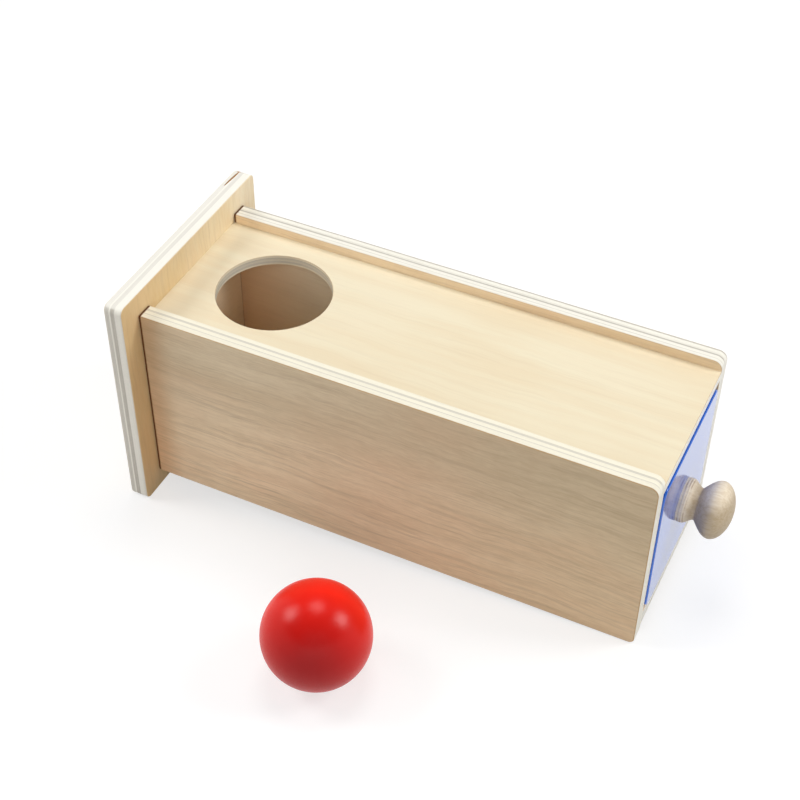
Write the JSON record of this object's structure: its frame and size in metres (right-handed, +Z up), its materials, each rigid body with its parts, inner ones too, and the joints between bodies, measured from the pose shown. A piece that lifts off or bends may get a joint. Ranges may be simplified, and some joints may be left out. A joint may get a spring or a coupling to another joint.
{
  "type": "object permanence box",
  "caption": "Wooden box on a square back plate, with a round hole in its top, a blue drawer with a turned knob in its front, and a loose red ball that drops through the hole into the drawer.",
  "frame": {"origin": "middle of the back plate's lower edge face, on which the box stands", "axes": "+X along the box from the back plate to the drawer's knob, +Y towards the right side panel as the drawer's user sees it, +Z up"},
  "size_m": [0.257, 0.1846, 0.1105],
  "materials": {
    "birch_plywood": "fine-sanded birch plywood under thin satin lacquer, pale layered edges",
    "thin_plywood": "fine-sanded thin birch plywood under thin satin lacquer",
    "beech_dowel": "plain beech, glued in",
    "turned_beech": "turned and sanded beech, satin",
    "blue_paint": "plywood under glossy blue enamel",
    "red_lacquer": "turned wooden ball under satin red lacquer",
    "bright_steel": "bright zinc-plated steel"
  },
  "bodies": {
    "box": {"back_plate": "birch_plywood", "left_side_panel": "birch_plywood", "right_side_panel": "birch_plywood", "top_panel": "thin_plywood", "bottom_panel": "birch_plywood", "plate_dowels": "beech_dowel", "bottom_dowels": "beech_dowel"},
    "drawer": {"drawer_front": "blue_paint", "drawer_left_side": "thin_plywood", "drawer_right_side": "thin_plywood", "drawer_back": "thin_plywood", "drawer_bottom": "thin_plywood", "drawer_brads": "bright_steel", "drawer_knob": "turned_beech", "knob_screw": "bright_steel", "knob_washer": "bright_steel"},
    "ball": {"ball": "red_lacquer"}
  },
  "joints": [
    {"name": "drawer_slide", "type": "slide", "parent": "box", "child": "drawer", "axis": [1, 0, 0], "range_m": [0, 0.2]},
    {"name": "ball_lift", "type": "slide", "parent": "box", "child": "ball", "axis": [0, 0, 1], "range_m": [0, 0.15]}
  ]
}
